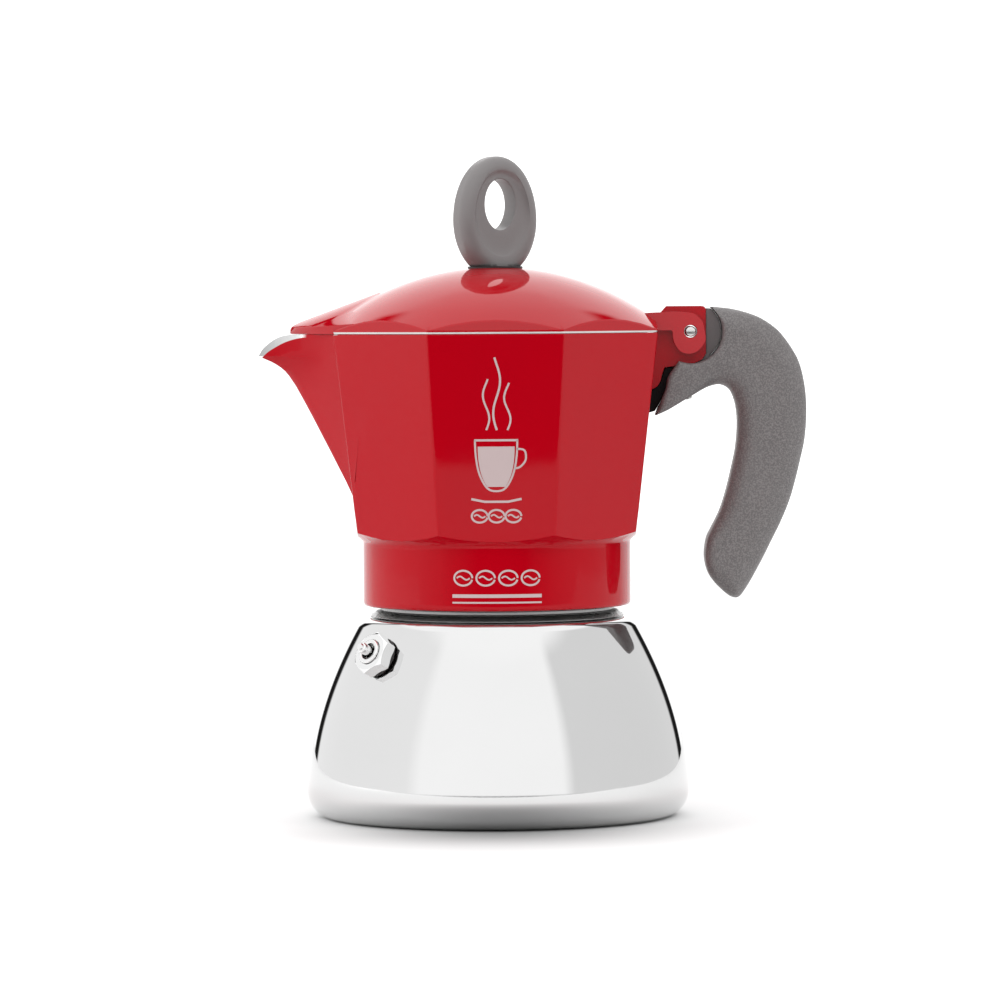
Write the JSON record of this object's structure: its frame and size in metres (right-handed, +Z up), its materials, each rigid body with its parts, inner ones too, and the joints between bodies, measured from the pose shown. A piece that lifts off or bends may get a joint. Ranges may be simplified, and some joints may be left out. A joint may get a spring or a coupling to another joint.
{
  "type": "stovetop moka pot",
  "caption": "Stovetop moka coffee pot with a steel bell boiler, red octagonal collector with a spout, hinged domed lid, ring knob and hooked handle.",
  "frame": {"origin": "centre of the flat base the pot rests on", "axes": "+Z up along the pot's axis, -X towards the spout, +X towards the hinge and handle"},
  "size_m": [0.1429, 0.1, 0.172],
  "materials": {
    "mirror_steel": "mirror polished stainless steel",
    "cast_aluminium": "plain cast and turned",
    "red_enamel": "glossy red enamel over cast aluminium",
    "grey_nylon": "satin grey nylon",
    "black_nylon": "satin black nylon",
    "seal_rubber": "pale silicone rubber",
    "nickel_brass": "nickel plated, polished",
    "zinc_screw": "zinc plated steel"
  },
  "bodies": {
    "boiler": {"boiler_jacket": "mirror_steel", "base_disc": "mirror_steel", "heat_plate": "cast_aluminium", "boiler_liner": "cast_aluminium", "valve_washer": "black_nylon", "valve_body": "nickel_brass", "valve_retainer": "nickel_brass", "valve_spring": "zinc_screw"},
    "valve_stem": {"valve_piston": "nickel_brass"},
    "funnel": {"funnel": "cast_aluminium", "funnel_filter_disc": "cast_aluminium"},
    "filter": {"filter_plate": "cast_aluminium"},
    "seal": {"gasket": "seal_rubber"},
    "collector": {"collector": "red_enamel", "riser_column": "cast_aluminium", "hinge_pin": "zinc_screw", "handle_core": "black_nylon", "handle_grip": "grey_nylon", "handle_screw": "zinc_screw"},
    "lid": {"lid": "red_enamel", "knob_washer": "black_nylon", "knob": "grey_nylon", "knob_screw": "zinc_screw"}
  },
  "joints": [
    {"name": "valve_slide", "type": "slide", "parent": "boiler", "child": "valve_stem", "axis": [-0.6615, -0.6168, 0.4266], "range_m": [0, 0.0012], "stiffness_N_per_m": 500, "springref_m": -0.003},
    {"name": "funnel_lift", "type": "slide", "parent": "boiler", "child": "funnel", "axis": [0, 0, 1], "range_m": [0, 0.07]},
    {"name": "collector_lift_off", "type": "slide", "parent": "funnel", "child": "filter", "axis": [0, 0, 1], "range_m": [0, 0.06]},
    {"name": "thread_rise", "type": "slide", "parent": "filter", "child": "seal", "axis": [0, 0, 1], "range_m": [0, 0.0065]},
    {"name": "collector_turn", "type": "hinge", "parent": "seal", "child": "collector", "pos_m": [0, 0, 0], "axis": [0, 0, 1], "range_deg": [0, 720]},
    {"name": "lid_hinge", "type": "hinge", "parent": "collector", "child": "lid", "pos_m": [0.0507, 0, 0.1262], "axis": [0, 1, 0], "range_deg": [0, 91.6]}
  ],
  "couplings": [
    {"joint": "thread_rise", "follows": "collector_turn", "m_per_rad": 0.0005093}
  ]
}
